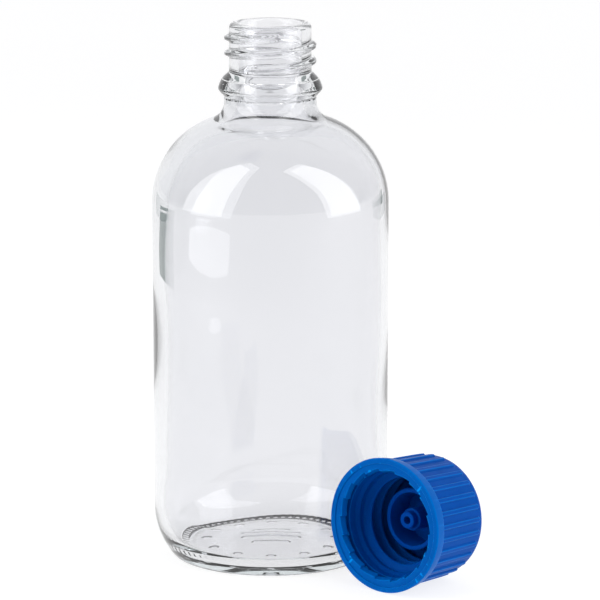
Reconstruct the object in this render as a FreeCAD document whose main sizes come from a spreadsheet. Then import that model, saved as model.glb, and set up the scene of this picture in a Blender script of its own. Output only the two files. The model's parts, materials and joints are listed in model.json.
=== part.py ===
# Reagent bottle of clear glass with its screw closure lying open beside it.
# Frame: millimetres, +Z up, origin on the table at the centre of the bottle's base.
# The closure lies on its side at +X, its mouth towards -Y.
import FreeCAD
import Part
import math
import os
import Sketcher

doc = FreeCAD.newDocument("reagent_bottle")
V = FreeCAD.Vector

# ---------------------------------------------------------------- driving sizes
sheet = doc.addObject("Spreadsheet::Sheet", "Sizes")
row_number = 0


def size(alias, value, note):
    """One line of the sheet: a note, and a value or formula under an alias."""
    global row_number
    row_number += 1
    sheet.set("A%d" % row_number, note)
    sheet.set("B%d" % row_number, str(value))
    sheet.setAlias("B%d" % row_number, alias)


# glass: body, shoulder and base
size("glass_r", 23.25, "radius of the cylindrical body")
size("glass_top", 106.0, "height of the lip")
size("wall", 2.1, "wall of the body")
size("foot_r", 19.8, "outer radius of the bearing ring")
size("foot_in_r", 17.6, "inner radius of the bearing ring")
size("push_up", 1.5, "rise of the base inside the bearing ring")
size("heel_top", 9.5, "height where the heel meets the body")
size("heel_arc", "=((glass_r - foot_r)^2 + heel_top^2) / (2 * (glass_r - foot_r))", "radius of the heel")
size("floor_edge", 1.9, "height of the inner floor at its edge")
size("floor_mid", 3.4, "height of the inner floor at its middle")
size("wall_foot", 9.5, "height where the inner wall starts to curve in")
size("wall_foot_arc", 12.0, "radius of the inner heel's upper, gentle curve")
size("heel_turn", 20.0, "angle of the gentle curve")
size("shoulder_start", 70.7, "height where the shoulder starts")
size("shoulder_arc", 17.3, "radius of the shoulder")
size("throat_arc", 3.6, "radius of the hollow curve under the neck")
size("inner_throat_arc", 7.0, "radius of the curve from the bore to the inner shoulder")

# glass: neck, collar, thread and lip
size("low_neck_r", 9.05, "radius of the neck under the collar")
size("collar_low", 91.7, "height of the collar's underside at the neck")
size("collar_r", 10.24, "largest radius of the collar")
size("collar_under", 1.05, "height of the collar's lower edge over its underside")
size("collar_wide", 1.6, "height of its widest line over its underside")
size("collar_bevel", 2.95, "height where its upper edge starts, over its underside")
size("collar_cone", 3.6, "height where its upper cone starts, over its underside")
size("collar_end", 4.75, "height where it runs out into the neck, over its underside")
size("collar_tuck", 0.14, "how far its lower edge lies inside its widest line")
size("collar_in", 0.5, "how far the start of its upper edge lies inside its widest line")
size("collar_cone_in", 0.95, "how far the start of its cone lies inside its widest line")
size("collar_low_arc", 0.7, "rounding under its widest line")
size("collar_top_arc", 1.0, "rounding of its upper edge")
size("root_r", 8.05, "radius of the neck at the foot of the thread")
size("thread_r", 9.0, "crest radius of the neck's thread")
size("pitch", 3.0, "pitch of the thread")
size("bore_r", 6.2, "radius of the bore")
size("lip_arc", 1.0, "outer rounding of the lip")
size("lip_in_arc", 0.55, "inner rounding of the lip")
size("thread_low", 97.45, "height where the middle of the ridge starts")
size("thread_turns", 2.15, "turns of the neck's thread")
size("thread_foot", 2.0, "width of the ridge at the neck")
size("thread_crest", 0.5, "width of the ridge at its crest")
size("thread_start", -89.0, "angle about +Z where the ridge starts")
size("sink", 0.3, "how deep the foot of a ridge or lug reaches into the piece that it stands on")

# closure, in its own frame: mouth at zero, top at the far end
size("band_r", 13.1, "radius of the tamper band at the mouth")
size("band_back_r", 12.78, "radius of the tamper band at its back edge")
size("band_w", 2.5, "length of the tamper band")
size("band_in_r", 11.1, "inner radius of the tamper band")
size("band_edge", 0.35, "rounding of the band's mouth edge")
size("lug_seat_r", 12.0, "inner radius of the band's mouth face, where the seat of the lugs starts")
size("lug_low", 0.3, "distance of the lugs' seat behind the mouth")
size("lug_w", 1.1, "length of the lugs along the axis")
size("lug_front_r", 10.5, "radius of a lug's tip at its front")
size("lug_tip_r", 10.05, "radius of a lug's tip at its back")
size("lug_fall", 0.45, "how far a lug's slope falls back from its tip")
size("lug_turn", 19.0, "angle that a lug's slope takes")
size("lug_count", 18, "number of lugs")
size("gap_w", 0.3, "gap between the band and the skirt")
size("bridge_count", 9, "number of break bridges")
size("bridge_in", 0.05, "distance of a bridge outside the inner face of the band")
size("bridge_out", 0.6, "distance of a bridge's outer face outside the inner face of the band")
size("bridge_half", 0.35, "half the width of a bridge")
size("bridge_slack", 0.02, "space between a bridge and the skirt")
size("cap_len", 16.5, "length of the whole closure")
size("skirt_r", 12.0, "radius between the ribs at the open end of the skirt")
size("skirt_top_r", 11.72, "radius between the ribs at the top")
size("top_arc", 1.2, "rounding of the top edge")
size("rib_arc", 0.62, "radius of a rib")
size("rib_axis_low_r", 11.8, "radius of a rib's axis at the open end")
size("rib_axis_top_r", 11.5, "radius of a rib's axis at its closed end")
size("rib_end", 14.7, "distance of the rib's last centre behind the mouth")
size("rib_count", 30, "number of ribs")
size("skirt_in_r", 10.55, "inner radius of the skirt over the collar")
size("step_start", 1.7, "length of the skirt's wide opening")
size("step_end", 2.4, "distance of its thread wall from the skirt's open end")
size("cap_root_r", 9.9, "inner radius of the skirt at the foot of its thread")
size("cap_crest_r", 8.4, "crest radius of the closure's thread")
size("cap_thread_low", 5.6, "where the closure's ridge starts behind the mouth")
size("cap_thread_turns", 2.75, "turns of the closure's thread")
size("cap_thread_foot", 1.7, "width of the closure's ridge at the wall")
size("cap_thread_crest", 0.5, "width of the closure's ridge at its crest")
size("ceiling", 15.65, "inner face of the top behind the mouth")

# seal insert, in the closure's frame
size("disc_r", 9.3, "radius of the insert's disc")
size("disc_low", 15.0, "face of the disc that meets the lip")
size("disc_w", 0.6, "thickness of the disc")
size("plug_r", 6.1, "outer radius of the plug ring")
size("plug_w", 0.9, "thickness of the plug ring")
size("plug_rim", 8.7, "rim of the plug ring behind the mouth")
size("plug_edge", 0.3, "bevel across the rim of the plug ring")
size("plug_lead", 0.6, "bevel along the rim of the plug ring")
size("plug_in_edge", 0.15, "inner bevel of the rim of the plug ring")
size("web_w", 0.4, "thickness of the web inside the plug ring")
size("boss_r", 3.7, "radius of the step round the spigot's foot")
size("boss_w", 0.8, "height of the step round the spigot's foot")
size("spigot_r", 2.2, "radius of the spigot's foot")
size("spigot_tip_r", 1.65, "radius of the spigot's tip")
size("spigot_step", 8.7, "step of the spigot behind the mouth")
size("spigot_tip", 7.3, "tip of the spigot behind the mouth")
size("spigot_hole_r", 0.75, "radius of the hole in the spigot")
size("spigot_hole_end", 1.2, "distance of the hole's end from the face of the disc")
size("spigot_edge", 0.3, "bevel of the spigot's step")
size("spigot_rim", 0.25, "bevel of the spigot's tip")

# where the closure lies
size("cap_x", 36.1, "distance of the closure's axis from the bottle's axis")
size("cap_y", -9.4, "position of the mouth along Y")

# sizes that follow from the ones above
size("body_in_r", "=glass_r - wall", "inner radius of the body")
size("heel_joint_r", "=body_in_r - wall_foot_arc * (1 - cos(heel_turn * 1 deg))",
     "radius where the inner heel's two curves meet")
size("heel_joint_z", "=wall_foot - wall_foot_arc * sin(heel_turn * 1 deg)",
     "height where the inner heel's two curves meet")
size("inner_heel", "=(heel_joint_z - floor_edge) / (1 - sin(heel_turn * 1 deg))",
     "radius of the inner heel's lower curve")
size("floor_r", "=heel_joint_r - inner_heel * cos(heel_turn * 1 deg)", "radius of the inner floor")
size("shoulder_mid_r", "=glass_r - shoulder_arc", "radius of the shoulder's centre")
size("throat_mid_r", "=low_neck_r + throat_arc", "radius of the throat's centre")
size("throat_rise",
     "=sqrt((shoulder_arc + throat_arc)^2 - (throat_mid_r - shoulder_mid_r)^2)",
     "height of the throat's centre over the shoulder's")
size("throat_share", "=shoulder_arc / (shoulder_arc + throat_arc)", "share for the touching point")
size("inner_arc", "=shoulder_arc - wall", "radius of the inner shoulder")
size("inner_mid_r", "=bore_r + inner_throat_arc", "radius of the inner throat's centre")
size("inner_rise",
     "=sqrt((inner_arc + inner_throat_arc)^2 - (inner_mid_r - shoulder_mid_r)^2)",
     "height of the inner throat's centre over the shoulder's")
size("inner_share", "=inner_arc / (inner_arc + inner_throat_arc)", "share for the touching point")
size("skirt_low", "=band_w + gap_w", "open end of the skirt behind the mouth")
size("plug_in_r", "=plug_r - plug_w", "inner radius of the plug ring")
size("lug_back", "=lug_low + lug_w", "back of the lugs behind the mouth")
size("lug_cos", "=cos(lug_turn * 1 deg)", "cosine of the angle that a lug's slope takes")
size("lug_sin", "=sin(lug_turn * 1 deg)", "sine of the angle that a lug's slope takes")
size("seat_r", "=band_in_r + sink", "radius that the lugs reach inside the band")
size("tilt",
     "=atan((band_r - band_edge - rib_axis_top_r) / (rib_end - band_edge))"
     " - asin((rib_arc - band_edge) / sqrt((band_r - band_edge - rib_axis_top_r)^2"
     " + (rib_end - band_edge)^2))",
     "slope of the closure's axis, which rests on its band and on one rib's end")
size("cap_z",
     "=(band_r - band_edge) * cos(tilt) + band_edge * sin(tilt) + band_edge",
     "height of the mouth's centre over the table")
doc.recompute()


def value(alias):
    """The number in one cell of the sheet."""
    cell = sheet.get(alias)
    return float(cell.Value) if hasattr(cell, "Value") else float(cell)


NUMBERS = {}
for line in range(1, row_number + 1):
    name = sheet.getAlias("B%d" % line)
    NUMBERS[name] = value(name)


def worked(text):
    """The present number of a sum of sizes, such as 'skirt_low + 0.2'."""
    total = 0.0
    for term in text.replace("-", "+-").split("+"):
        term = term.strip()
        if not term:
            continue
        sign = 1.0
        if term.startswith("-"):
            sign = -1.0
            term = term[1:].strip()
        product = 1.0
        for factor in term.split("*"):
            factor = factor.strip()
            product *= NUMBERS[factor] if factor in NUMBERS else float(factor)
        total += sign * product
    return total


def bound(text):
    """The same sum as an expression on the sheet."""
    words = []
    for word in text.split():
        words.append("Sizes." + word if word in NUMBERS else word)
    return " ".join(words)


# ---------------------------------------------------------------- sketch helpers
def plane_of(body, role):
    """One of a body's own origin planes."""
    for feature in body.Origin.OriginFeatures:
        if feature.Role == role:
            return feature
    raise ValueError(role)


def new_body(label):
    body = doc.addObject("PartDesign::Body", label)
    body.Label = label
    return body


def new_sketch(body, name, role="XZ_Plane"):
    sketch = doc.addObject("Sketcher::SketchObject", name)
    body.addObject(sketch)
    sketch.AttachmentSupport = [(plane_of(body, role), "")]
    sketch.MapMode = "FlatFace"
    return sketch


def hold(sketch, kind, geometry, vertex, text):
    """Hold one coordinate of a sketch point at a sum of sizes."""
    index = sketch.addConstraint(
        Sketcher.Constraint("Distance" + kind, -1, 1, geometry, vertex, worked(text)))
    sketch.setExpression("Constraints[%d]" % index, bound(text))


def outline(sketch, points, arcs=None):
    """A closed outline through points given as pairs of sums.

    arcs maps the index of a point to (radius, bulge): the edge that leaves that
    point is an arc, and bulge is +1 when it turns anticlockwise.
    """
    arcs = arcs or {}
    spots = []
    for across, along in points:
        spots.append(V(worked(across), worked(along), 0))
    count = len(spots)
    for i in range(count):
        start = spots[i]
        end = spots[(i + 1) % count]
        if i not in arcs:
            sketch.addGeometry(Part.LineSegment(start, end), False)
            continue
        radius_text, bulge = arcs[i]
        radius = worked(radius_text)
        middle = (start + end) * 0.5
        chord = end - start
        height = math.sqrt(max(radius ** 2 - (chord.Length / 2) ** 2, 0.0))
        normal = V(-chord.y, chord.x, 0).normalize()
        centre = middle + normal * (height * bulge)
        first = math.atan2(start.y - centre.y, start.x - centre.x)
        last = math.atan2(end.y - centre.y, end.x - centre.x)
        if bulge < 0:
            first, last = last, first
        circle = Part.Circle(centre, V(0, 0, 1), radius)
        sketch.addGeometry(Part.ArcOfCircle(circle, first, last), False)
    ends = []
    for i in range(count):
        flipped = i in arcs and arcs[i][1] < 0
        ends.append((2, 1) if flipped else (1, 2))
    for i in range(count):
        following = (i + 1) % count
        sketch.addConstraint(
            Sketcher.Constraint("Coincident", i, ends[i][1], following, ends[following][0]))
    for i in range(count):
        hold(sketch, "X", i, ends[i][0], points[i][0])
        hold(sketch, "Y", i, ends[i][0], points[i][1])
        if i in arcs:
            index = sketch.addConstraint(Sketcher.Constraint("Radius", i, worked(arcs[i][0])))
            sketch.setExpression("Constraints[%d]" % index, bound(arcs[i][0]))
    return sketch


def revolve(body, sketch, name):
    feature = doc.addObject("PartDesign::Revolution", name)
    body.addObject(feature)
    feature.Profile = sketch
    feature.ReferenceAxis = (sketch, ["V_Axis"])
    feature.Angle = 360.0
    sketch.Visibility = False
    return feature


def ridge(body, name, foot_r, crest_r, foot_w, crest_w, low, turns):
    """A helical ridge; foot_r is the radius of its foot, low the height of its middle at its start."""
    half_foot = "0.5 * " + foot_w
    half_crest = "0.5 * " + crest_w
    sketch = new_sketch(body, name + "_profile")
    outline(sketch, [
        (foot_r, low + " - " + half_foot),
        (crest_r, low + " - " + half_crest),
        (crest_r, low + " + " + half_crest),
        (foot_r, low + " + " + half_foot),
    ])
    helix = doc.addObject("PartDesign::AdditiveHelix", name)
    body.addObject(helix)
    helix.Profile = sketch
    helix.ReferenceAxis = (sketch, ["V_Axis"])
    helix.Mode = 1
    helix.setExpression("Pitch", "Sizes.pitch")
    helix.setExpression("Turns", "Sizes." + turns)
    helix.Angle = 0.0
    helix.Growth = 0.0
    helix.LeftHanded = False
    helix.Reversed = False
    sketch.Visibility = False
    return helix


def repeat(body, feature, name, count):
    """Repeat a feature evenly about the body's Z axis."""
    pattern = doc.addObject("PartDesign::PolarPattern", name)
    body.addObject(pattern)
    pattern.Originals = [feature]
    axis = None
    for item in body.Origin.OriginFeatures:
        if item.Role == "Z_Axis":
            axis = item
    pattern.Axis = (axis, [""])
    pattern.Angle = 360.0
    body.Tip = pattern
    pattern.setExpression("Occurrences", "Sizes." + count)
    return pattern


def lay_down(body):
    """Place a piece of the closure where the closure lies."""
    body.Placement = FreeCAD.Placement(V(0, 0, 0), FreeCAD.Rotation(V(-1, 0, 0), 90))
    body.setExpression("Placement.Base.x", "Sizes.cap_x")
    body.setExpression("Placement.Base.y", "Sizes.cap_y")
    body.setExpression("Placement.Base.z", "Sizes.cap_z")
    body.setExpression("Placement.Rotation.Angle", "90 deg + Sizes.tilt")


# ---------------------------------------------------------------- glass bottle
glass = new_body("glass_bottle")
touch_r = "shoulder_mid_r + throat_share * throat_mid_r - throat_share * shoulder_mid_r"
touch_z = "shoulder_start + throat_share * throat_rise"
inner_touch_r = "shoulder_mid_r + inner_share * inner_mid_r - inner_share * shoulder_mid_r"
inner_touch_z = "shoulder_start + inner_share * inner_rise"
glass_points = [
    ("0", "push_up"),                                   # 0 middle of the base
    ("foot_in_r", "0"),                                 # 1 bearing ring, inside
    ("foot_r", "0"),                                    # 2 bearing ring, outside
    ("glass_r", "heel_top"),                            # 3 heel meets the body
    ("glass_r", "shoulder_start"),                      # 4 body meets the shoulder
    (touch_r, touch_z),                                 # 5 shoulder meets the throat
    ("low_neck_r", "shoulder_start + throat_rise"),     # 6 neck under the collar
    ("low_neck_r", "collar_low"),                       # 7 underside of the collar
    ("collar_r - collar_tuck", "collar_low + collar_under"),  # 8 lower edge of the collar
    ("collar_r", "collar_low + collar_wide"),           # 9 widest line of the collar
    ("collar_r - collar_in", "collar_low + collar_bevel"),    # 10 upper edge, below
    ("collar_r - collar_cone_in", "collar_low + collar_cone"),  # 11 upper edge, above
    ("root_r", "collar_low + collar_end"),              # 12 neck above the collar
    ("root_r", "glass_top - lip_arc"),                  # 13 lip, outside
    ("root_r - lip_arc", "glass_top"),                  # 14 lip, top outside
    ("bore_r + lip_in_arc", "glass_top"),               # 15 lip, top inside
    ("bore_r", "glass_top - lip_in_arc"),               # 16 lip, inside
    ("bore_r", "shoulder_start + inner_rise"),          # 17 foot of the bore
    (inner_touch_r, inner_touch_z),                     # 18 inner throat meets shoulder
    ("body_in_r", "shoulder_start"),                    # 19 inner shoulder meets wall
    ("body_in_r", "wall_foot"),                         # 20 wall meets the inner heel
    ("heel_joint_r", "heel_joint_z"),                   # 21 inner heel, middle
    ("floor_r", "floor_edge"),                          # 22 inner heel meets the floor
    ("0", "floor_mid"),                                 # 23 middle of the floor
]
glass_arcs = {
    2: ("heel_arc", 1),
    4: ("shoulder_arc", 1),
    5: ("throat_arc", -1),
    8: ("collar_low_arc", 1),
    10: ("collar_top_arc", 1),
    13: ("lip_arc", 1),
    15: ("lip_in_arc", 1),
    17: ("inner_throat_arc", 1),
    18: ("inner_arc", -1),
    20: ("wall_foot_arc", -1),
    21: ("inner_heel", -1),
}
glass_outline = outline(new_sketch(glass, "glass_outline"), glass_points, glass_arcs)
revolve(glass, glass_outline, "glass_turned")
ridge(glass, "neck_thread", "root_r - sink", "thread_r", "thread_foot", "thread_crest",
      "thread_low", "thread_turns")
glass.setExpression("Placement.Rotation.Angle", "Sizes.thread_start")

# ---------------------------------------------------------------- screw cap
cap = new_body("screw_cap")
cap_points = [
    ("skirt_in_r", "skirt_low"),
    ("skirt_r", "skirt_low"),
    ("skirt_top_r", "cap_len - top_arc"),
    ("skirt_top_r - top_arc", "cap_len"),
    ("0", "cap_len"),
    ("0", "ceiling"),
    ("cap_root_r", "ceiling"),
    ("cap_root_r", "skirt_low + step_end"),
    ("skirt_in_r", "skirt_low + step_start"),
]
cap_outline = outline(new_sketch(cap, "cap_outline"), cap_points, {2: ("top_arc", 1)})
revolve(cap, cap_outline, "cap_turned")

rib_sketch = new_sketch(cap, "rib_outline", "YZ_Plane")
outline(rib_sketch, [
    ("rib_axis_low_r", "skirt_low"),
    ("rib_axis_low_r + rib_arc", "skirt_low"),
    ("rib_axis_top_r + rib_arc", "rib_end"),
    ("rib_axis_top_r", "rib_end + rib_arc"),
], {2: ("rib_arc", 1)})
rib = doc.addObject("PartDesign::Revolution", "rib")
cap.addObject(rib)
rib.Profile = rib_sketch
rib.ReferenceAxis = (rib_sketch, ["Edge4"])
rib.Angle = 360.0
rib_sketch.Visibility = False
repeat(cap, rib, "ribs", "rib_count")
ridge(cap, "cap_thread", "cap_root_r + sink", "cap_crest_r", "cap_thread_foot", "cap_thread_crest",
      "cap_thread_low", "cap_thread_turns")
lay_down(cap)

# ---------------------------------------------------------------- tamper band
band = new_body("tamper_band")
band_points = [
    ("lug_seat_r", "0"),
    ("band_r - band_edge", "0"),
    ("band_r", "band_edge"),
    ("band_back_r", "band_w"),
    ("band_in_r", "band_w"),
    ("band_in_r", "lug_low"),
    ("lug_seat_r", "lug_low"),
]
band_outline = outline(new_sketch(band, "band_outline"), band_points, {1: ("band_edge", 1)})
revolve(band, band_outline, "band_turned")


def lug_section(name, tip_r, along):
    """A lug's outline across the axis: a tip, and a slope that falls back from it."""
    sketch = new_sketch(band, name, "XY_Plane")
    fallen = "lug_cos * %s + lug_cos * lug_fall" % tip_r
    risen = "lug_sin * %s + lug_sin * lug_fall" % tip_r
    outline(sketch, [
        (tip_r, "0"),
        ("seat_r", "0"),
        ("lug_cos * seat_r", "lug_sin * seat_r"),
        (fallen, risen),
    ])
    sketch.AttachmentOffset = FreeCAD.Placement(V(0, 0, NUMBERS[along]), FreeCAD.Rotation())
    sketch.setExpression("AttachmentOffset.Base.z", "Sizes." + along)
    sketch.Visibility = False
    return sketch


lug_front = lug_section("lug_front", "lug_front_r", "lug_low")
lug_end = lug_section("lug_end", "lug_tip_r", "lug_back")
lug = doc.addObject("PartDesign::AdditiveLoft", "lug")
band.addObject(lug)
lug.Profile = lug_front
lug.Sections = [lug_end]
lug.Ruled = True
repeat(band, lug, "lugs", "lug_count")
lay_down(band)

# ---------------------------------------------------------------- break bridges
bridges = new_body("break_bridges")
if hasattr(bridges, "AllowCompound"):
    bridges.AllowCompound = True
bridge_sketch = new_sketch(bridges, "bridge_outline", "XY_Plane")
outline(bridge_sketch, [
    ("band_in_r + bridge_in", "-1 * bridge_half"),
    ("band_in_r + bridge_out", "-1 * bridge_half"),
    ("band_in_r + bridge_out", "bridge_half"),
    ("band_in_r + bridge_in", "bridge_half"),
])
bridge_sketch.AttachmentOffset = FreeCAD.Placement(V(0, 0, NUMBERS["band_w"]), FreeCAD.Rotation())
bridge_sketch.setExpression("AttachmentOffset.Base.z", "Sizes.band_w")
bridge = doc.addObject("PartDesign::Pad", "bridge")
bridges.addObject(bridge)
bridge.Profile = bridge_sketch
bridge.setExpression("Length", "Sizes.gap_w - Sizes.bridge_slack")
bridge_sketch.Visibility = False
repeat(bridges, bridge, "bridges", "bridge_count")
lay_down(bridges)

# ---------------------------------------------------------------- seal insert
insert = new_body("seal_insert")
insert_points = [
    ("0", "disc_low + disc_w"),
    ("disc_r", "disc_low + disc_w"),
    ("disc_r", "disc_low"),
    ("plug_r", "disc_low"),
    ("plug_r", "plug_rim + plug_lead"),
    ("plug_r - plug_edge", "plug_rim"),
    ("plug_in_r + plug_in_edge", "plug_rim"),
    ("plug_in_r", "plug_rim + plug_edge"),
    ("plug_in_r", "disc_low - web_w"),
    ("boss_r", "disc_low - web_w"),
    ("boss_r", "disc_low - boss_w"),
    ("spigot_r", "disc_low - boss_w"),
    ("spigot_r", "spigot_step + spigot_edge"),
    ("spigot_r - spigot_edge", "spigot_step"),
    ("spigot_tip_r", "spigot_step"),
    ("spigot_tip_r", "spigot_tip + spigot_rim"),
    ("spigot_tip_r - spigot_rim", "spigot_tip"),
    ("spigot_hole_r", "spigot_tip"),
    ("spigot_hole_r", "disc_low - spigot_hole_end"),
    ("0", "disc_low - spigot_hole_end"),
]
insert_outline = outline(new_sketch(insert, "insert_outline"), insert_points)
revolve(insert, insert_outline, "insert_turned")
lay_down(insert)

# ---------------------------------------------------------------- checks and files
doc.recompute()
pieces = [glass, cap, band, bridges, insert]
for item in doc.Objects:
    for state in item.State:
        if state in ("Invalid", "Error"):
            raise ValueError("%s: %s" % (item.Name, state))
for piece in pieces:
    if piece.Shape.isNull() or not piece.Shape.isValid():
        raise ValueError(piece.Label)
    box = piece.Shape.BoundBox
    print("%-14s solids %d volume %.1f box %.2f..%.2f %.2f..%.2f %.2f..%.2f" % (
        piece.Label, len(piece.Shape.Solids), piece.Shape.Volume,
        box.XMin, box.XMax, box.YMin, box.YMax, box.ZMin, box.ZMax))
os.makedirs("parts", exist_ok=True)
for piece in pieces:
    piece.Shape.exportStep("parts/%s.step" % piece.Label)
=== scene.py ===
# Looks of the reagent bottle: clear glass, blue moulded closure, pale studio.
# Metres, in the CAD frame: +Z up, origin on the table at the centre of the bottle's base.
import json
import math

import bpy
import numpy as np
from mathutils import Matrix, Vector


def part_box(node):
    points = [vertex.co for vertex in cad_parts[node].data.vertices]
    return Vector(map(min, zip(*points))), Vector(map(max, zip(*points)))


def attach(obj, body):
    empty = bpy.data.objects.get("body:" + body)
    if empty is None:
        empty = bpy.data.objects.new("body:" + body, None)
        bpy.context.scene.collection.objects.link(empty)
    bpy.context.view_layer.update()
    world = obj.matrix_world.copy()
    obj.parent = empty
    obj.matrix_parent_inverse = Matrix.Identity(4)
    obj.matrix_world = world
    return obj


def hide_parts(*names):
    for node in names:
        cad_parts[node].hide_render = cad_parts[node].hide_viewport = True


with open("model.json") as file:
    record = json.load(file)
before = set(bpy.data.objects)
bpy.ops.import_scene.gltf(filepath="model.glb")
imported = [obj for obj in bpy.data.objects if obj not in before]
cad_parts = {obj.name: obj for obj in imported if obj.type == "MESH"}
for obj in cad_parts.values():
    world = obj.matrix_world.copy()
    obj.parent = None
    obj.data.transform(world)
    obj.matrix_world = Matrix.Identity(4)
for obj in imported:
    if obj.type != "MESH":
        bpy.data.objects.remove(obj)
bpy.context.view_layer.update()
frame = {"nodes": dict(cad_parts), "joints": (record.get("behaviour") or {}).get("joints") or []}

MM = 0.001
TURN = 2.0 * math.pi

# ---------------------------------------------------------------- sizes, in millimetres
LOW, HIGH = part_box("glass_bottle")
GLASS_R = (HIGH[0] - LOW[0]) / 2 / MM
GLASS_TOP = HIGH[2] / MM
WALL = 2.1
FOOT_R, FOOT_IN_R, PUSH_UP = 19.8, 17.6, 1.5
HEEL_TOP = 9.5
FLOOR_EDGE, FLOOR_MID = 1.9, 3.4
WALL_FOOT, WALL_FOOT_ARC, HEEL_TURN = 9.5, 12.0, 20.0
SHOULDER_START, SHOULDER_ARC = 70.7, 17.3
THROAT_ARC, INNER_THROAT_ARC = 3.6, 7.0
LOW_NECK_R, COLLAR_LOW, COLLAR_R = 9.05, 91.7, 10.24
COLLAR_FOOT = COLLAR_LOW - 0.2              # where the plain lower neck stops
COLLAR_TOP = COLLAR_LOW + 5.0               # where the collar has run out into the neck
COLLAR_UNDER, COLLAR_WIDE, COLLAR_BEVEL, COLLAR_CONE, COLLAR_END = 1.05, 1.6, 2.95, 3.6, 4.75
COLLAR_TUCK, COLLAR_IN, COLLAR_CONE_IN = 0.14, 0.5, 0.95
ROOT_R, THREAD_R, PITCH = 8.05, 9.0, 3.0
BORE_R, LIP_ARC, LIP_IN_ARC = 6.2, 1.0, 0.55
THREAD_LOW, THREAD_TURNS, THREAD_START = 97.45, 2.15, math.radians(-89.0)
RIDGE_HALF = 0.95
AROUND = 432
AZIMUTH = math.radians(40.2)                # of the camera, round from -Y
FRONT = AZIMUTH - math.radians(90)          # direction of the side that faces the camera
KNURL_COUNT, KNURL_DEPTH, KNURL_FADE = 72, 0.16, 0.6
MARK_DEPTH, MARK_FADE = 0.55, 0.35          # of the dots and bars under the base
DOT_COUNT, DOT_RING_R, DOT_HALF, BAR_HALF = 12, 13.0, 0.95, 0.75
BARS = [(-4.5, 3.0), (-1.5, 5.0), (1.5, 5.0), (4.5, 3.0)]   # place and half length
THIN_SIDE = FRONT + math.radians(90)        # where the blown wall is thinnest
BODY_SHIFT, SHOULDER_SHIFT, SHOULDER_THICK = 0.30, 0.60, 0.35   # of the inner surface
SHOULDER_FROM, SHOULDER_FULL = 52.0, 78.0   # heights where the thick shoulder fades in
SHOULDER_END, SHOULDER_FADE = 89.0, 14.0    # height where it has faded out, and over how far
BODY_FADE_IN, BODY_END, BODY_FADE = 8.0, 90.0, 6.0      # the body's shift and waves, likewise
# thick spots of the blown wall: direction, height, half width, half height, how thick
THICK_SPOTS = [
    (FRONT + math.radians(-143), 35.0, 6.0, 6.5, 1.1),
    (FRONT + math.radians(148), 27.0, 6.5, 7.0, 1.1),
    (FRONT + math.radians(165), 62.0, 9.0, 9.0, 0.35),
]

# closure, in its own frame: mouth at zero, top at the far end
BAND_R, BAND_BACK_R, BAND_W, BAND_IN_R, BAND_EDGE = 13.1, 12.78, 2.5, 11.1, 0.35
LUG_SEAT_R, LUG_LOW, LUG_W = 12.0, 0.3, 1.1
LUG_FRONT_R, LUG_TIP_R, LUG_FALL, LUG_TURN, LUG_COUNT = 10.5, 10.05, 0.45, 19.0, 18
CAP_LEN, SKIRT_LOW, SKIRT_R, SKIRT_TOP_R, TOP_ARC = 16.5, 2.8, 12.0, 11.72, 1.2
TOP_RIM_R, TOP_DISC_R, TOP_SINK, GATE_R, GATE_SINK = 9.6, 9.3, 0.15, 0.9, 0.03
CEILING_ARC = 0.3
RIB_OUT, RIB_FLAT, RIB_HALF, RIB_END, RIB_COUNT = 0.41, 0.36, 0.64, 14.7, 30
SKIRT_IN_R, STEP_START, STEP_END, CAP_ROOT_R, CAP_CREST_R = 10.55, 1.7, 2.4, 9.9, 8.4
CAP_THREAD_LOW, CAP_THREAD_TURNS, CAP_RIDGE_HALF, CEILING = 5.6, 2.75, 0.85, 15.65
DISC_R, DISC_LOW, DISC_W, PLUG_R, PLUG_W, PLUG_RIM = 9.3, 15.0, 0.6, 6.1, 0.9, 8.7
SPIGOT_R, SPIGOT_TIP_R, SPIGOT_STEP, SPIGOT_TIP, SPIGOT_HOLE_R = 2.2, 1.65, 8.7, 7.3, 0.75
WEB_W, BOSS_R, BOSS_W, SPIGOT_HOLE_END = 0.4, 3.7, 0.8, 1.2


# ---------------------------------------------------------------- mesh helpers
def arc(centre, radius, start, end, count):
    """Points of an arc, its angles in degrees from +r towards +z."""
    angles = np.radians(np.linspace(start, end, count))
    return [(centre[0] + radius * math.cos(a), centre[1] + radius * math.sin(a)) for a in angles]


def run(start, end, step):
    """Points of a straight stretch, about step apart, its last point left out."""
    start, end = np.array(start, float), np.array(end, float)
    count = max(1, int(round(np.linalg.norm(end - start) / step)))
    return [tuple(start + (end - start) * i / count) for i in range(count)]


def smooth(x):
    """0 to 1 with level ends."""
    x = np.clip(x, 0.0, 1.0)
    return x * x * (3 - 2 * x)


def new_mesh(name, points, faces, material):
    mesh = bpy.data.meshes.new(name)
    mesh.from_pydata([tuple(p) for p in points], [], faces)
    mesh.validate()
    mesh.polygons.foreach_set("use_smooth", [True] * len(mesh.polygons))
    mesh.materials.append(material)
    mesh.update()
    piece = bpy.data.objects.new(name, mesh)
    bpy.context.scene.collection.objects.link(piece)
    return piece


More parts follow.
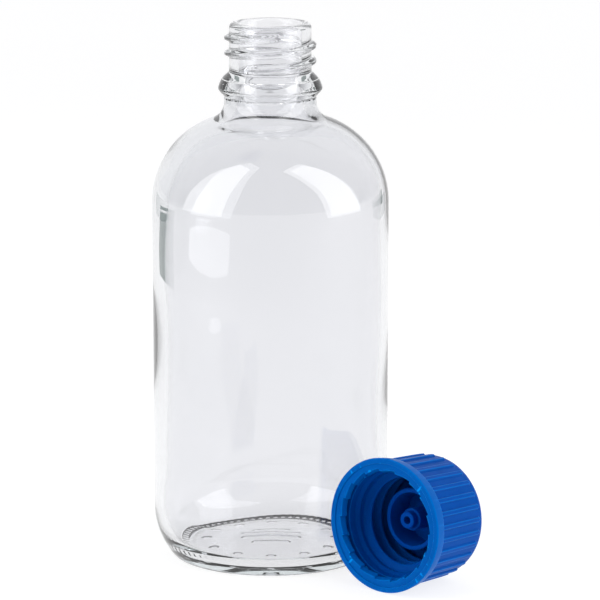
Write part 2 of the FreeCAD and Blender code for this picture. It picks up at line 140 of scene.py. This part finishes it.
def turned(name, stations, material, shape=None, around=AROUND, closed=False, place=None):
    """A turned surface: one ring per station (r, z), both ends on the axis unless closed.

    shape(angle, r, z, index) moves the points of one ring; it returns new r and z arrays.
    """
    angle = np.arange(around) * TURN / around
    points, faces, rings = [], [], []
    for index, (r, z) in enumerate(stations):
        if r < 1e-9 and not closed:
            rings.append([len(points)])
            points.append((0.0, 0.0, z))
            continue
        rr, zz = np.full(around, float(r)), np.full(around, float(z))
        if shape is not None:
            rr, zz = shape(angle, rr, zz, index)
        rings.append(list(range(len(points), len(points) + around)))
        points += list(zip(rr * np.cos(angle), rr * np.sin(angle), zz))
    pairs = list(zip(rings[:-1], rings[1:]))
    if closed:
        pairs.append((rings[-1], rings[0]))
    for a, b in pairs:
        for i in range(around):
            j = (i + 1) % around
            if len(a) == 1:
                faces.append((a[0], b[j], b[i]))
            elif len(b) == 1:
                faces.append((a[i], a[j], b[0]))
            else:
                faces.append((a[i], a[j], b[j], b[i]))
    points = np.array(points) * MM
    if place is not None:
        points = points @ np.array(place.to_3x3()).T + np.array(place.translation)
    return new_mesh(name, points, faces, material)


# ---------------------------------------------------------------- materials
class Nodes:
    """A material's node tree with short calls for what every material here needs."""

    def __init__(self, name):
        self.material = bpy.data.materials.new(name)
        self.material.use_nodes = True
        self.tree = self.material.node_tree
        self.shader = self.tree.nodes["Principled BSDF"]
        self.output = self.tree.nodes["Material Output"]
        self.place = self.add("ShaderNodeTexCoord").outputs["Object"]

    def add(self, kind, **values):
        node = self.tree.nodes.new(kind)
        for key, value in values.items():
            setattr(node, key, value)
        return node

    def join(self, source, target):
        self.tree.links.new(source, target)

    def set(self, **values):
        for key, value in values.items():
            self.shader.inputs[key.replace("_", " ")].default_value = value

    def noise(self, scale, detail=3.0, roughness=0.5):
        node = self.add("ShaderNodeTexNoise")
        node.inputs["Scale"].default_value = scale
        node.inputs["Detail"].default_value = detail
        node.inputs["Roughness"].default_value = roughness
        self.join(self.place, node.inputs["Vector"])
        return node.outputs["Fac"]

    def ramp(self, source, low, high, start=0.3, end=0.7):
        node = self.add("ShaderNodeValToRGB")
        node.color_ramp.elements[0].position = start
        node.color_ramp.elements[1].position = end
        node.color_ramp.elements[0].color = low
        node.color_ramp.elements[1].color = high
        self.join(source, node.inputs["Fac"])
        return node.outputs["Color"]

    def spread(self, source, low, high):
        node = self.add("ShaderNodeMapRange")
        node.inputs["To Min"].default_value = low
        node.inputs["To Max"].default_value = high
        self.join(source, node.inputs["Value"])
        return node.outputs["Result"]

    def bump(self, source, strength, distance, below=None):
        node = self.add("ShaderNodeBump")
        node.inputs["Strength"].default_value = strength
        node.inputs["Distance"].default_value = distance
        self.join(source, node.inputs["Height"])
        if below is not None:
            self.join(below, node.inputs["Normal"])
        return node.outputs["Normal"]


def grey(v):
    return (v, v, v, 1.0)


def glass_material():
    n = Nodes("clear_glass")
    n.set(Base_Color=(0.885, 0.885, 0.903, 1.0), IOR=1.515, Transmission_Weight=1.0)
    n.join(n.spread(n.noise(60.0), 0.0, 0.03), n.shader.inputs["Roughness"])
    waves = n.bump(n.noise(35.0, 1.0), 0.25, 0.0004)
    n.join(waves, n.shader.inputs["Normal"])
    body = n.add("ShaderNodeVolumeAbsorption")
    body.inputs["Color"].default_value = (0.72, 0.80, 0.79, 1.0)
    body.inputs["Density"].default_value = 18.0
    n.join(body.outputs["Volume"], n.output.inputs["Volume"])
    return n.material


def from_axis(n, place):
    """Distance in metres from the closure's axis."""
    out = n.add("ShaderNodeVectorMath", operation="SUBTRACT")
    out.inputs[1].default_value = place.translation
    n.join(n.place, out.inputs[0])
    across = n.add("ShaderNodeVectorMath", operation="CROSS_PRODUCT")
    across.inputs[1].default_value = place.to_3x3().col[2]
    n.join(out.outputs["Vector"], across.inputs[0])
    length = n.add("ShaderNodeVectorMath", operation="LENGTH")
    n.join(across.outputs["Vector"], length.inputs[0])
    return length.outputs["Value"]


def painted_edge_highlight(n, body, edge_highlight_blue, place):
    """Mix a paler blue in along the sharp outer edges of the ribs and lugs: a painted highlight
    where light would catch them.
    """
    edge = n.add("ShaderNodeMapRange")
    edge.inputs["From Min"].default_value = 0.51
    edge.inputs["From Max"].default_value = 0.60
    n.join(n.add("ShaderNodeNewGeometry").outputs["Pointiness"], edge.inputs["Value"])
    outside = n.add("ShaderNodeMath", operation="GREATER_THAN")
    outside.inputs[1].default_value = SKIRT_IN_R * MM
    n.join(from_axis(n, place), outside.inputs[0])
    share = n.add("ShaderNodeMath", operation="MULTIPLY")
    n.join(edge.outputs["Result"], share.inputs[0])
    n.join(outside.outputs["Value"], share.inputs[1])
    mix = n.add("ShaderNodeMixRGB")
    mix.inputs["Color2"].default_value = edge_highlight_blue
    n.join(share.outputs["Value"], mix.inputs["Fac"])
    n.join(body, mix.inputs["Color1"])
    return mix.outputs["Color"]


def plastic_material(name, dark, light, edge_highlight_blue=None, place=None):
    n = Nodes(name)
    body = n.ramp(n.noise(180.0, 4.0), dark, light)
    # painted highlight: a paler blue along the sharp outer edges of the ribs and lugs
    if edge_highlight_blue is not None:
        body = painted_edge_highlight(n, body, edge_highlight_blue, place)
    n.join(body, n.shader.inputs["Base Color"])
    n.join(n.spread(n.noise(900.0, 2.0), 0.30, 0.44), n.shader.inputs["Roughness"])
    n.set(IOR=1.30, Subsurface_Weight=0.25, Subsurface_Scale=0.0012, Specular_IOR_Level=0.12,
          Specular_Tint=(0.05, 0.35, 1.0, 1.0))
    n.shader.inputs["Subsurface Radius"].default_value = (0.2, 0.5, 1.0)
    grain = n.bump(n.noise(2600.0, 2.0), 0.12, 0.00005)
    flow = n.bump(n.noise(120.0, 1.0), 0.10, 0.0002, grain)
    n.join(flow, n.shader.inputs["Normal"])
    return n.material


# ---------------------------------------------------------------- glass bottle
def outer_stations():
    """The outside of the glass from the middle of the base to the top of the lip."""
    heel = ((GLASS_R - FOOT_R) ** 2 + HEEL_TOP ** 2) / (2 * (GLASS_R - FOOT_R))
    heel_mid = (GLASS_R - heel, HEEL_TOP)
    heel_low = math.degrees(math.atan2(-HEEL_TOP, FOOT_R - heel_mid[0]))
    mid_r = GLASS_R - SHOULDER_ARC
    throat_r = LOW_NECK_R + THROAT_ARC
    rise = math.sqrt((SHOULDER_ARC + THROAT_ARC) ** 2 - (throat_r - mid_r) ** 2)
    lean = math.degrees(math.atan2(rise, throat_r - mid_r))
    stations = [(0.0, PUSH_UP)]
    for r in np.arange(0.2, FOOT_IN_R, 0.2):
        stations.append((r, PUSH_UP * (1 - r / FOOT_IN_R)))
    stations += run((FOOT_IN_R, 0.0), (FOOT_R, 0.0), 0.3)
    stations += arc(heel_mid, heel, heel_low, 0, 24)
    stations += run((GLASS_R, HEEL_TOP), (GLASS_R, SHOULDER_START), 1.5)[1:]
    stations += arc((mid_r, SHOULDER_START), SHOULDER_ARC, 0, lean, 56)
    stations += arc((throat_r, SHOULDER_START + rise), THROAT_ARC, lean + 180, 180, 16)[1:]
    stations += run((LOW_NECK_R, SHOULDER_START + rise), (LOW_NECK_R, COLLAR_FOOT), 0.3)[1:]
    stations += collar_stations()
    stations += run((ROOT_R, COLLAR_TOP), (ROOT_R, GLASS_TOP - LIP_ARC), 0.085)
    stations += arc((ROOT_R - LIP_ARC, GLASS_TOP - LIP_ARC), LIP_ARC, 0, 90, 12)
    return stations


def collar_stations():
    """The collar with its edges rounded off."""
    return rounded([
        (LOW_NECK_R, COLLAR_FOOT, 0.0),
        (LOW_NECK_R, COLLAR_LOW, 0.25),
        (COLLAR_R - COLLAR_TUCK, COLLAR_LOW + COLLAR_UNDER, 0.3),
        (COLLAR_R, COLLAR_LOW + COLLAR_WIDE, 0.3),
        (COLLAR_R - COLLAR_IN, COLLAR_LOW + COLLAR_BEVEL, 0.6),
        (COLLAR_R - COLLAR_CONE_IN, COLLAR_LOW + COLLAR_CONE, 0.3),
        (ROOT_R, COLLAR_LOW + COLLAR_END, 0.35),
        (ROOT_R, COLLAR_TOP, 0.0),
    ])


def rounded(corners, steps=6):
    """A line through corners (r, z, cut) with each corner cut back and rounded."""
    line = []
    for i, (r, z, cut) in enumerate(corners):
        here = np.array((r, z))
        if cut == 0.0:
            line.append((r, z))
            continue
        before = np.array(corners[i - 1][:2]) - here
        after = np.array(corners[(i + 1) % len(corners)][:2]) - here
        first = here + before / np.linalg.norm(before) * cut
        last = here + after / np.linalg.norm(after) * cut
        for t in np.linspace(0, 1, steps):
            spot = (1 - t) ** 2 * first + 2 * t * (1 - t) * here + t ** 2 * last
            line.append(tuple(spot))
    return line


def inner_stations():
    """The inside of the glass from the top of the lip to the middle of the floor."""
    mid_r = GLASS_R - SHOULDER_ARC
    inner_arc = SHOULDER_ARC - WALL
    throat_r = BORE_R + INNER_THROAT_ARC
    rise = math.sqrt((inner_arc + INNER_THROAT_ARC) ** 2 - (throat_r - mid_r) ** 2)
    lean = math.degrees(math.atan2(rise, throat_r - mid_r))
    in_r = GLASS_R - WALL
    stations = arc((BORE_R + LIP_IN_ARC, GLASS_TOP - LIP_IN_ARC), LIP_IN_ARC, 90, 180, 10)
    stations += run((BORE_R, GLASS_TOP - LIP_IN_ARC), (BORE_R, SHOULDER_START + rise), 0.5)[1:]
    stations += arc((throat_r, SHOULDER_START + rise), INNER_THROAT_ARC, 180, lean + 180, 18)
    stations += arc((mid_r, SHOULDER_START), inner_arc, lean, 0, 56)[1:]
    stations += run((in_r, SHOULDER_START), (in_r, WALL_FOOT), 1.5)[1:]
    turn = math.radians(HEEL_TURN)
    joint_r = in_r - WALL_FOOT_ARC * (1 - math.cos(turn))
    joint_z = WALL_FOOT - WALL_FOOT_ARC * math.sin(turn)
    low_arc = (joint_z - FLOOR_EDGE) / (1 - math.sin(turn))
    floor_r = joint_r - low_arc * math.cos(turn)
    stations += arc((in_r - WALL_FOOT_ARC, WALL_FOOT), WALL_FOOT_ARC, 0, -HEEL_TURN, 12)
    stations += arc((floor_r, FLOOR_EDGE + low_arc), low_arc, -HEEL_TURN, -90, 20)[1:]
    for r in np.arange(floor_r - 0.6, 0.3, -0.6):
        stations.append((r, FLOOR_MID - (FLOOR_MID - FLOOR_EDGE) * r / floor_r))
    stations.append((0.0, FLOOR_MID))
    return stations


OUTER = outer_stations()
INNER = inner_stations()


def ridge_height(angle, z, low, turns, begin, half, out):
    """How far a thread's ridge stands out at each point; its ends fade away."""
    height = np.zeros_like(z)
    first = ((angle - begin) / TURN) % 1.0
    for whole in range(int(turns) + 1):
        passed = first + whole
        off = np.abs(z - low - PITCH * passed) / half
        fade = smooth(passed / 0.10) * smooth((turns - passed) / 0.10)
        shape = np.where(off < 1, 1 - smooth((off - 0.18) / 0.82), 0.0)
        height = np.maximum(height, out * shape * fade)
    return height


def glass_shape(angle, r, z, index):
    """Thread, knurled foot and mould marks outside; the unevenness of blown glass inside."""
    if index >= len(OUTER):
        return blown(angle, r, z)
    if z[0] > COLLAR_TOP and r[0] > ROOT_R - 0.02:
        r = r + ridge_height(angle, z, THREAD_LOW, THREAD_TURNS, THREAD_START, RIDGE_HALF,
                             THREAD_R - ROOT_R)
    if FOOT_IN_R - 0.01 < r[0] < FOOT_R + 0.01 and z[0] < 0.01:
        edge = smooth((r - FOOT_IN_R) / KNURL_FADE) * smooth((FOOT_R - r) / KNURL_FADE)
        z = z + KNURL_DEPTH * edge * (0.5 - 0.5 * np.cos(KNURL_COUNT * angle))
    if r[0] < FOOT_IN_R and 0.0 < z[0] < PUSH_UP + 0.01:
        z = z + base_marks(angle, r)
    return r, z


def blown(angle, r, z):
    """The blown inside: off centre, thick in the shoulder, with soft waves and thick spots."""
    up = np.maximum(z - SHOULDER_START, 0.0)
    across = np.where(z > SHOULDER_START, r - (GLASS_R - SHOULDER_ARC), 1.0)
    length = np.hypot(across, up)
    body = smooth((z - WALL_FOOT) / BODY_FADE_IN) * smooth((BODY_END - z) / BODY_FADE)
    shoulder = smooth((z - SHOULDER_FROM) / (SHOULDER_FULL - SHOULDER_FROM))
    shoulder *= smooth((SHOULDER_END - z) / SHOULDER_FADE)
    shift = BODY_SHIFT * body + SHOULDER_SHIFT * shoulder
    out = shift * np.cos(angle - THIN_SIDE) - SHOULDER_THICK * shoulder
    out += body * 0.10 * np.sin(2 * angle + 0.10 * z)
    out += body * 0.06 * np.sin(3 * angle - 0.17 * z + 1.3)
    for turn, height, wide, tall, deep in THICK_SPOTS:
        round_wall = ((angle - turn + math.pi) % TURN - math.pi) * GLASS_R / wide
        out -= deep * body * np.exp(-0.5 * (round_wall ** 2 + ((z - height) / tall) ** 2))
    return r + out * across / length, z + out * up / length


def base_marks(angle, r):
    """Generic marks under the base, sunk into it: a ring of dots and four bars."""
    x, y = r * np.cos(angle - FRONT), r * np.sin(angle - FRONT)
    depth = np.zeros_like(r)
    for k in range(DOT_COUNT):
        turn = TURN * k / DOT_COUNT
        away = np.hypot(x - DOT_RING_R * math.cos(turn), y - DOT_RING_R * math.sin(turn))
        depth = np.maximum(depth, MARK_DEPTH * smooth((DOT_HALF - away) / MARK_FADE))
    for along, half in BARS:
        away = np.hypot(x - along, np.maximum(np.abs(y) - half, 0))
        depth = np.maximum(depth, MARK_DEPTH * smooth((BAR_HALF - away) / MARK_FADE))
    return depth


def make_bottle(material):
    piece = turned("bottle_glass", OUTER + INNER[1:], material, glass_shape)
    finish_piece(piece, "bottle", "glass_bottle")


# ---------------------------------------------------------------- closure
def closure_place():
    """Where the closure's own frame lies: its mouth's centre and its axis are the cap's hinge."""
    hinge = next(j for j in frame["joints"] if j["name"] == "cap_turn")
    axis = Vector(hinge["axis"]).normalized()
    side = Vector((1, 0, 0))
    place = Matrix((side, axis.cross(side), axis)).transposed().to_4x4()
    place.translation = Vector(hinge["pos_m"])
    return place


def cap_stations():
    """The screw cap from the middle of its ceiling, over the open end, to the middle of its top."""
    flat_r, wall_top = CAP_ROOT_R - CEILING_ARC, CEILING - CEILING_ARC
    stations = [(0.0, CEILING)] + run((0.8, CEILING), (flat_r, CEILING), 0.8)
    stations += arc((flat_r, wall_top), CEILING_ARC, 90, 0, 5)
    stations += run((CAP_ROOT_R, wall_top), (CAP_ROOT_R, SKIRT_LOW + STEP_END), 0.12)[1:]
    stations += rounded([
        (CAP_ROOT_R, SKIRT_LOW + STEP_END + 0.4, 0.0),
        (CAP_ROOT_R, SKIRT_LOW + STEP_END, 0.2),
        (SKIRT_IN_R, SKIRT_LOW + STEP_START, 0.2),
        (SKIRT_IN_R, SKIRT_LOW, 0.2),
        (SKIRT_R, SKIRT_LOW, 0.15),
        (SKIRT_R, SKIRT_LOW + 0.3, 0.0),
    ])[1:]
    lean = (SKIRT_TOP_R - SKIRT_R) / (CAP_LEN - TOP_ARC - SKIRT_LOW)
    heights = list(np.arange(SKIRT_LOW + 0.6, RIB_END - 0.4, 0.4))
    heights += list(np.arange(RIB_END - 0.4, CAP_LEN - TOP_ARC, 0.08))
    stations += [(SKIRT_R + lean * (z - SKIRT_LOW), z) for z in heights]
    stations += arc((SKIRT_TOP_R - TOP_ARC, CAP_LEN - TOP_ARC), TOP_ARC, 0, 90, 16)
    disc, gate = CAP_LEN - TOP_SINK, CAP_LEN - GATE_SINK
    stations += rounded([
        (SKIRT_TOP_R - TOP_ARC, CAP_LEN, 0.0),
        (TOP_RIM_R, CAP_LEN, 0.2),
        (TOP_DISC_R, disc, 0.2),
        (TOP_DISC_R - 0.3, disc, 0.0),
    ])[1:]
    stations += run((TOP_DISC_R - 0.3, disc), (GATE_R + 0.7, disc), 0.25)[1:]
    stations += rounded([
        (GATE_R + 0.7, disc, 0.0),
        (GATE_R + 0.1, disc, 0.1),
        (GATE_R, gate, 0.06),
        (0.2, gate, 0.0),
    ])
    return stations + [(0.0, gate)]


def cap_shape(angle, r, z, index):
    """Ribs outside and the thread inside."""
    threaded = SKIRT_LOW + STEP_END < z[0] < CEILING - CEILING_ARC + 0.01
    if threaded and abs(r[0] - CAP_ROOT_R) < 0.05:
        r = r - ridge_height(angle, z, CAP_THREAD_LOW, CAP_THREAD_TURNS, 0.0, CAP_RIDGE_HALF,
                             CAP_ROOT_R - CAP_CREST_R)
    if r[0] > SKIRT_IN_R + 0.3 and z[0] >= SKIRT_LOW:
        step = TURN / RIB_COUNT
        round_cap = ((angle - TURN / 4 + step / 2) % step - step / 2) * SKIRT_R
        away = np.hypot(round_cap, np.maximum(z - RIB_END + RIB_FLAT, 0))
        start = smooth((r - SKIRT_R + 0.5) / 0.3)
        r = r + RIB_OUT * start * (1 - smooth((away - RIB_FLAT) / (RIB_HALF - RIB_FLAT)))
    return r, z


def band_stations():
    """The tamper band's section, with a lug weight: 1 where the lugs' radius replaces its own."""
    outside = rounded([
        (LUG_SEAT_R, LUG_LOW, 0.0), (LUG_SEAT_R, 0.0, 0.15), (BAND_R, 0.0, BAND_EDGE),
        (BAND_BACK_R, BAND_W, 0.2), (BAND_IN_R, BAND_W, 0.15), (BAND_IN_R, LUG_LOW + LUG_W, 0.0)])
    back = LUG_LOW + LUG_W
    stations = [(r, z, 0.0) for r, z in outside]
    stations += [(BAND_IN_R, back, 0.5), (BAND_IN_R, back, 0.94), (BAND_IN_R, back - 0.06, 1.0)]
    stations += [(BAND_IN_R, z, 1.0) for z in np.linspace(back - 0.2, LUG_LOW + 0.1, 7)]
    stations += [(BAND_IN_R, LUG_LOW + 0.03, 0.98), (BAND_IN_R, LUG_LOW, 0.90),
                 (BAND_IN_R, LUG_LOW, 0.45), (BAND_IN_R, LUG_LOW, 0.0)]
    stations += [(r, LUG_LOW, 0.0) for r in np.linspace(BAND_IN_R, LUG_SEAT_R, 5)[1:-1]]
    return stations


def band_shape(angle, r, z, index):
    """Saw-tooth lugs: each slope falls back from its tip, then steps to the next tip."""
    weight = BAND[index][2]
    if weight == 0.0:
        return r, z
    step = TURN / LUG_COUNT
    passed = np.minimum((angle % step) / math.radians(LUG_TURN), 1.0)
    deeper = (z - LUG_LOW) / LUG_W
    tip = LUG_FRONT_R + (LUG_TIP_R - LUG_FRONT_R) * deeper
    return r + weight * (tip + LUG_FALL * passed - r), z


def insert_stations():
    """The seal insert from the bottom of the spigot's hole, over the plug ring, to the back."""
    corners = [
        (SPIGOT_HOLE_R, DISC_LOW - SPIGOT_HOLE_END, 0.1),
        (SPIGOT_HOLE_R, SPIGOT_TIP, 0.15),
        (SPIGOT_TIP_R, SPIGOT_TIP, 0.25),
        (SPIGOT_TIP_R, SPIGOT_STEP, 0.1),
        (SPIGOT_R, SPIGOT_STEP, 0.25),
        (SPIGOT_R, DISC_LOW - BOSS_W, 0.2),
        (BOSS_R, DISC_LOW - BOSS_W, 0.15),
        (BOSS_R, DISC_LOW - WEB_W, 0.15),
        (PLUG_R - PLUG_W, DISC_LOW - WEB_W, 0.3),
        (PLUG_R - PLUG_W, PLUG_RIM, 0.2),
        (PLUG_R, PLUG_RIM, 0.35),
        (PLUG_R, DISC_LOW, 0.15),
        (DISC_R, DISC_LOW, 0.12),
        (DISC_R, DISC_LOW + DISC_W, 0.12),
        (0.3, DISC_LOW + DISC_W, 0.0),
    ]
    first = (0.0, DISC_LOW - SPIGOT_HOLE_END)
    return [first] + rounded([(0.2, first[1], 0.0)] + corners) + [(0.0, DISC_LOW + DISC_W)]


BAND = band_stations()


def make_closure():
    place = closure_place()
    # the paler blue of the painted highlight along the outer edges of the ribs and lugs
    edge_highlight_blue = (0.0, 0.24, 0.74, 1)
    cap_blue = plastic_material("cap_plastic", (0.0, 0.060, 0.32, 1), (0.0, 0.068, 0.35, 1), edge_highlight_blue,
                                place)
    band_blue = plastic_material("band_plastic", (0.0, 0.088, 0.38, 1), (0.0, 0.102, 0.42, 1), edge_highlight_blue,
                                 place)
    insert_blue = plastic_material("insert_plastic", (0.0, 0.050, 0.30, 1), (0.0, 0.058, 0.33, 1))
    cap = turned("ribbed_cap", cap_stations(), cap_blue, cap_shape,
                 around=20 * RIB_COUNT, place=place)
    finish_piece(cap, "cap", "screw_cap")
    band = turned("lugged_band", [s[:2] for s in BAND], band_blue, band_shape,
                  around=36 * LUG_COUNT, closed=True, place=place)
    finish_piece(band, "band", "tamper_band")
    insert = turned("plug_insert", insert_stations(), insert_blue, around=180, place=place)
    finish_piece(insert, "insert", "seal_insert")
    bridges = frame["nodes"]["break_bridges"]
    bridges.data.materials.clear()
    bridges.data.materials.append(band_blue)


def finish_piece(piece, body, node):
    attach(piece, body)
    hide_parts(node)


# ---------------------------------------------------------------- studio, in metres
LOOK_Z = 0.05244
DISTANCE = 0.6813
HEIGHT_ANGLE = math.radians(11.865)
PITCH_DOWN, YAW = math.radians(12.0), math.radians(0.498)
LIT_HEIGHT, LIGHT_DISTANCE = 0.075, 0.40    # of the shoulder, and of the lights from it
CARD_HEIGHTS, CARD_DISTANCE = (0.014, 0.05), 0.30
FLOOR_HALF = 4.0


def make_camera():
    data = bpy.data.cameras.new("camera")
    data.sensor_width = 36.0
    data.lens = 206.93
    data.clip_start, data.clip_end = 0.01, 50.0
    camera = bpy.data.objects.new("camera", data)
    bpy.context.scene.collection.objects.link(camera)
    outward = Vector((math.sin(AZIMUTH), -math.cos(AZIMUTH), 0))
    right = Vector((math.cos(AZIMUTH), math.sin(AZIMUTH), 0))
    place = outward * DISTANCE * math.cos(HEIGHT_ANGLE)
    place.z = LOOK_Z + DISTANCE * math.sin(HEIGHT_ANGLE)
    level = -outward * math.cos(YAW) + right * math.sin(YAW)
    forward = level * math.cos(PITCH_DOWN) + Vector((0, 0, -math.sin(PITCH_DOWN)))
    camera.location = place
    camera.rotation_euler = forward.to_track_quat("-Z", "Y").to_euler()
    bpy.context.scene.camera = camera


def studio_point(right, toward, up):
    """A place given from the camera's side: right, towards the camera and up, in metres."""
    return (Vector((math.cos(AZIMUTH), math.sin(AZIMUTH), 0)) * right
            + Vector((math.sin(AZIMUTH), -math.cos(AZIMUTH), 0)) * toward
            + Vector((0, 0, up)))


def direction(turn, rise):
    """A direction from its angle round from the camera's side and its angle above the table."""
    turn, rise = math.radians(turn), math.radians(rise)
    level = math.cos(rise)
    return studio_point(math.sin(turn) * level, math.cos(turn) * level, math.sin(rise))


def softbox(name, turn, rise, corners, material):
    """A lit sheet that faces the bottle's shoulder; its corners lie across and up in it."""
    facing_it = direction(turn, rise)
    across = Vector((0, 0, 1)).cross(facing_it).normalized()
    up = facing_it.cross(across)
    middle = Vector((0, 0, LIT_HEIGHT)) + facing_it * LIGHT_DISTANCE
    points = [middle + across * a + up * b for a, b in corners]
    sheet = new_mesh(name, points, [tuple(range(len(points)))], material)
    sheet.visible_camera = False


def softbox_material():
    n = Nodes("softbox")
    n.set(Specular_IOR_Level=0.0, Emission_Strength=3.4)
    n.shader.inputs["Base Color"].default_value = grey(0.0)
    n.join(n.ramp(n.noise(2.0), grey(0.98), grey(1.0)), n.shader.inputs["Emission Color"])
    return n.material


def dark_card(name, start, end, material):
    """A grey-green card between two angles round the bottle; it draws soft lines in the glass."""
    low, high = CARD_HEIGHTS
    outward = direction((start + end) / 2, 0)
    where = outward * CARD_DISTANCE + Vector((0, 0, (low + high) / 2))
    half = CARD_DISTANCE * math.tan(math.radians((end - start) / 2))
    along = Vector((-outward.y, outward.x, 0)) * half
    up = Vector((0, 0, (high - low) / 2))
    corners = [where - along - up, where + along - up, where + along + up, where - along + up]
    card = new_mesh(name, corners, [(0, 1, 2, 3)], material)
    card.visible_camera = False
    card.visible_diffuse = False
    card.visible_shadow = False


def make_studio():
    corners = [(x * FLOOR_HALF, y * FLOOR_HALF, 0) for x, y in ((-1, -1), (1, -1), (1, 1), (-1, 1))]
    floor = new_mesh("studio_floor", corners, [(0, 1, 2, 3)], floor_material())
    light = softbox_material()
    softbox("softbox_left", -62, 25,
            [(0.125, -0.236), (0.145, 0.0), (0.155, 0.27), (0.05, 0.27), (-0.27, -0.236)], light)
    softbox("softbox_right", 60, 22,
            [(-0.04, -0.235), (-0.09, 0.003), (-0.227, 0.33), (-0.064, 0.32), (0.33, -0.235)],
            light)
    dark = card_material()
    dark_card("dark_card_left", -143, -114, dark)
    dark_card("dark_card_right", 114, 143, dark)
    make_world()
    bpy.context.scene.view_settings.view_transform = "Standard"


def make_world():
    """Pale behind the bottle, dimmer round the sides and on the camera's side."""
    world = bpy.data.worlds.new("studio")
    world.use_nodes = True
    tree = world.node_tree
    back = tree.nodes["Background"]
    place = tree.nodes.new("ShaderNodeTexCoord")
    behind = tree.nodes.new("ShaderNodeVectorMath")
    behind.operation = "DOT_PRODUCT"
    behind.inputs[1].default_value = (-math.sin(AZIMUTH), math.cos(AZIMUTH), 0.5)
    tree.links.new(place.outputs["Generated"], behind.inputs[0])
    ramp = tree.nodes.new("ShaderNodeValToRGB")
    ramp.color_ramp.elements[0].position = 0.15
    ramp.color_ramp.elements[0].color = (0.36, 0.36, 0.38, 1)
    ramp.color_ramp.elements[1].position = 0.80
    ramp.color_ramp.elements[1].color = (0.95, 0.955, 0.97, 1)
    tree.links.new(behind.outputs["Value"], ramp.inputs["Fac"])
    tree.links.new(ramp.outputs["Color"], back.inputs["Color"])
    bpy.context.scene.world = world


def floor_material():
    """A pale table with a faint glow of its own, as over a light box."""
    n = Nodes("studio_floor")
    n.join(n.ramp(n.noise(3.0), grey(0.25), grey(0.27)), n.shader.inputs["Base Color"])
    n.set(Roughness=0.8, Specular_IOR_Level=0.1, Emission_Strength=0.80)
    n.shader.inputs["Emission Color"].default_value = (1.0, 1.0, 1.0, 1.0)
    return n.material


def card_material():
    n = Nodes("dark_card")
    n.join(n.ramp(n.noise(20.0), (0.27, 0.31, 0.30, 1), (0.29, 0.33, 0.32, 1)),
           n.shader.inputs["Base Color"])
    n.set(Roughness=0.9, Specular_IOR_Level=0.0)
    return n.material


# ---------------------------------------------------------------- making it all
make_camera()
make_studio()
make_bottle(glass_material())
make_closure()
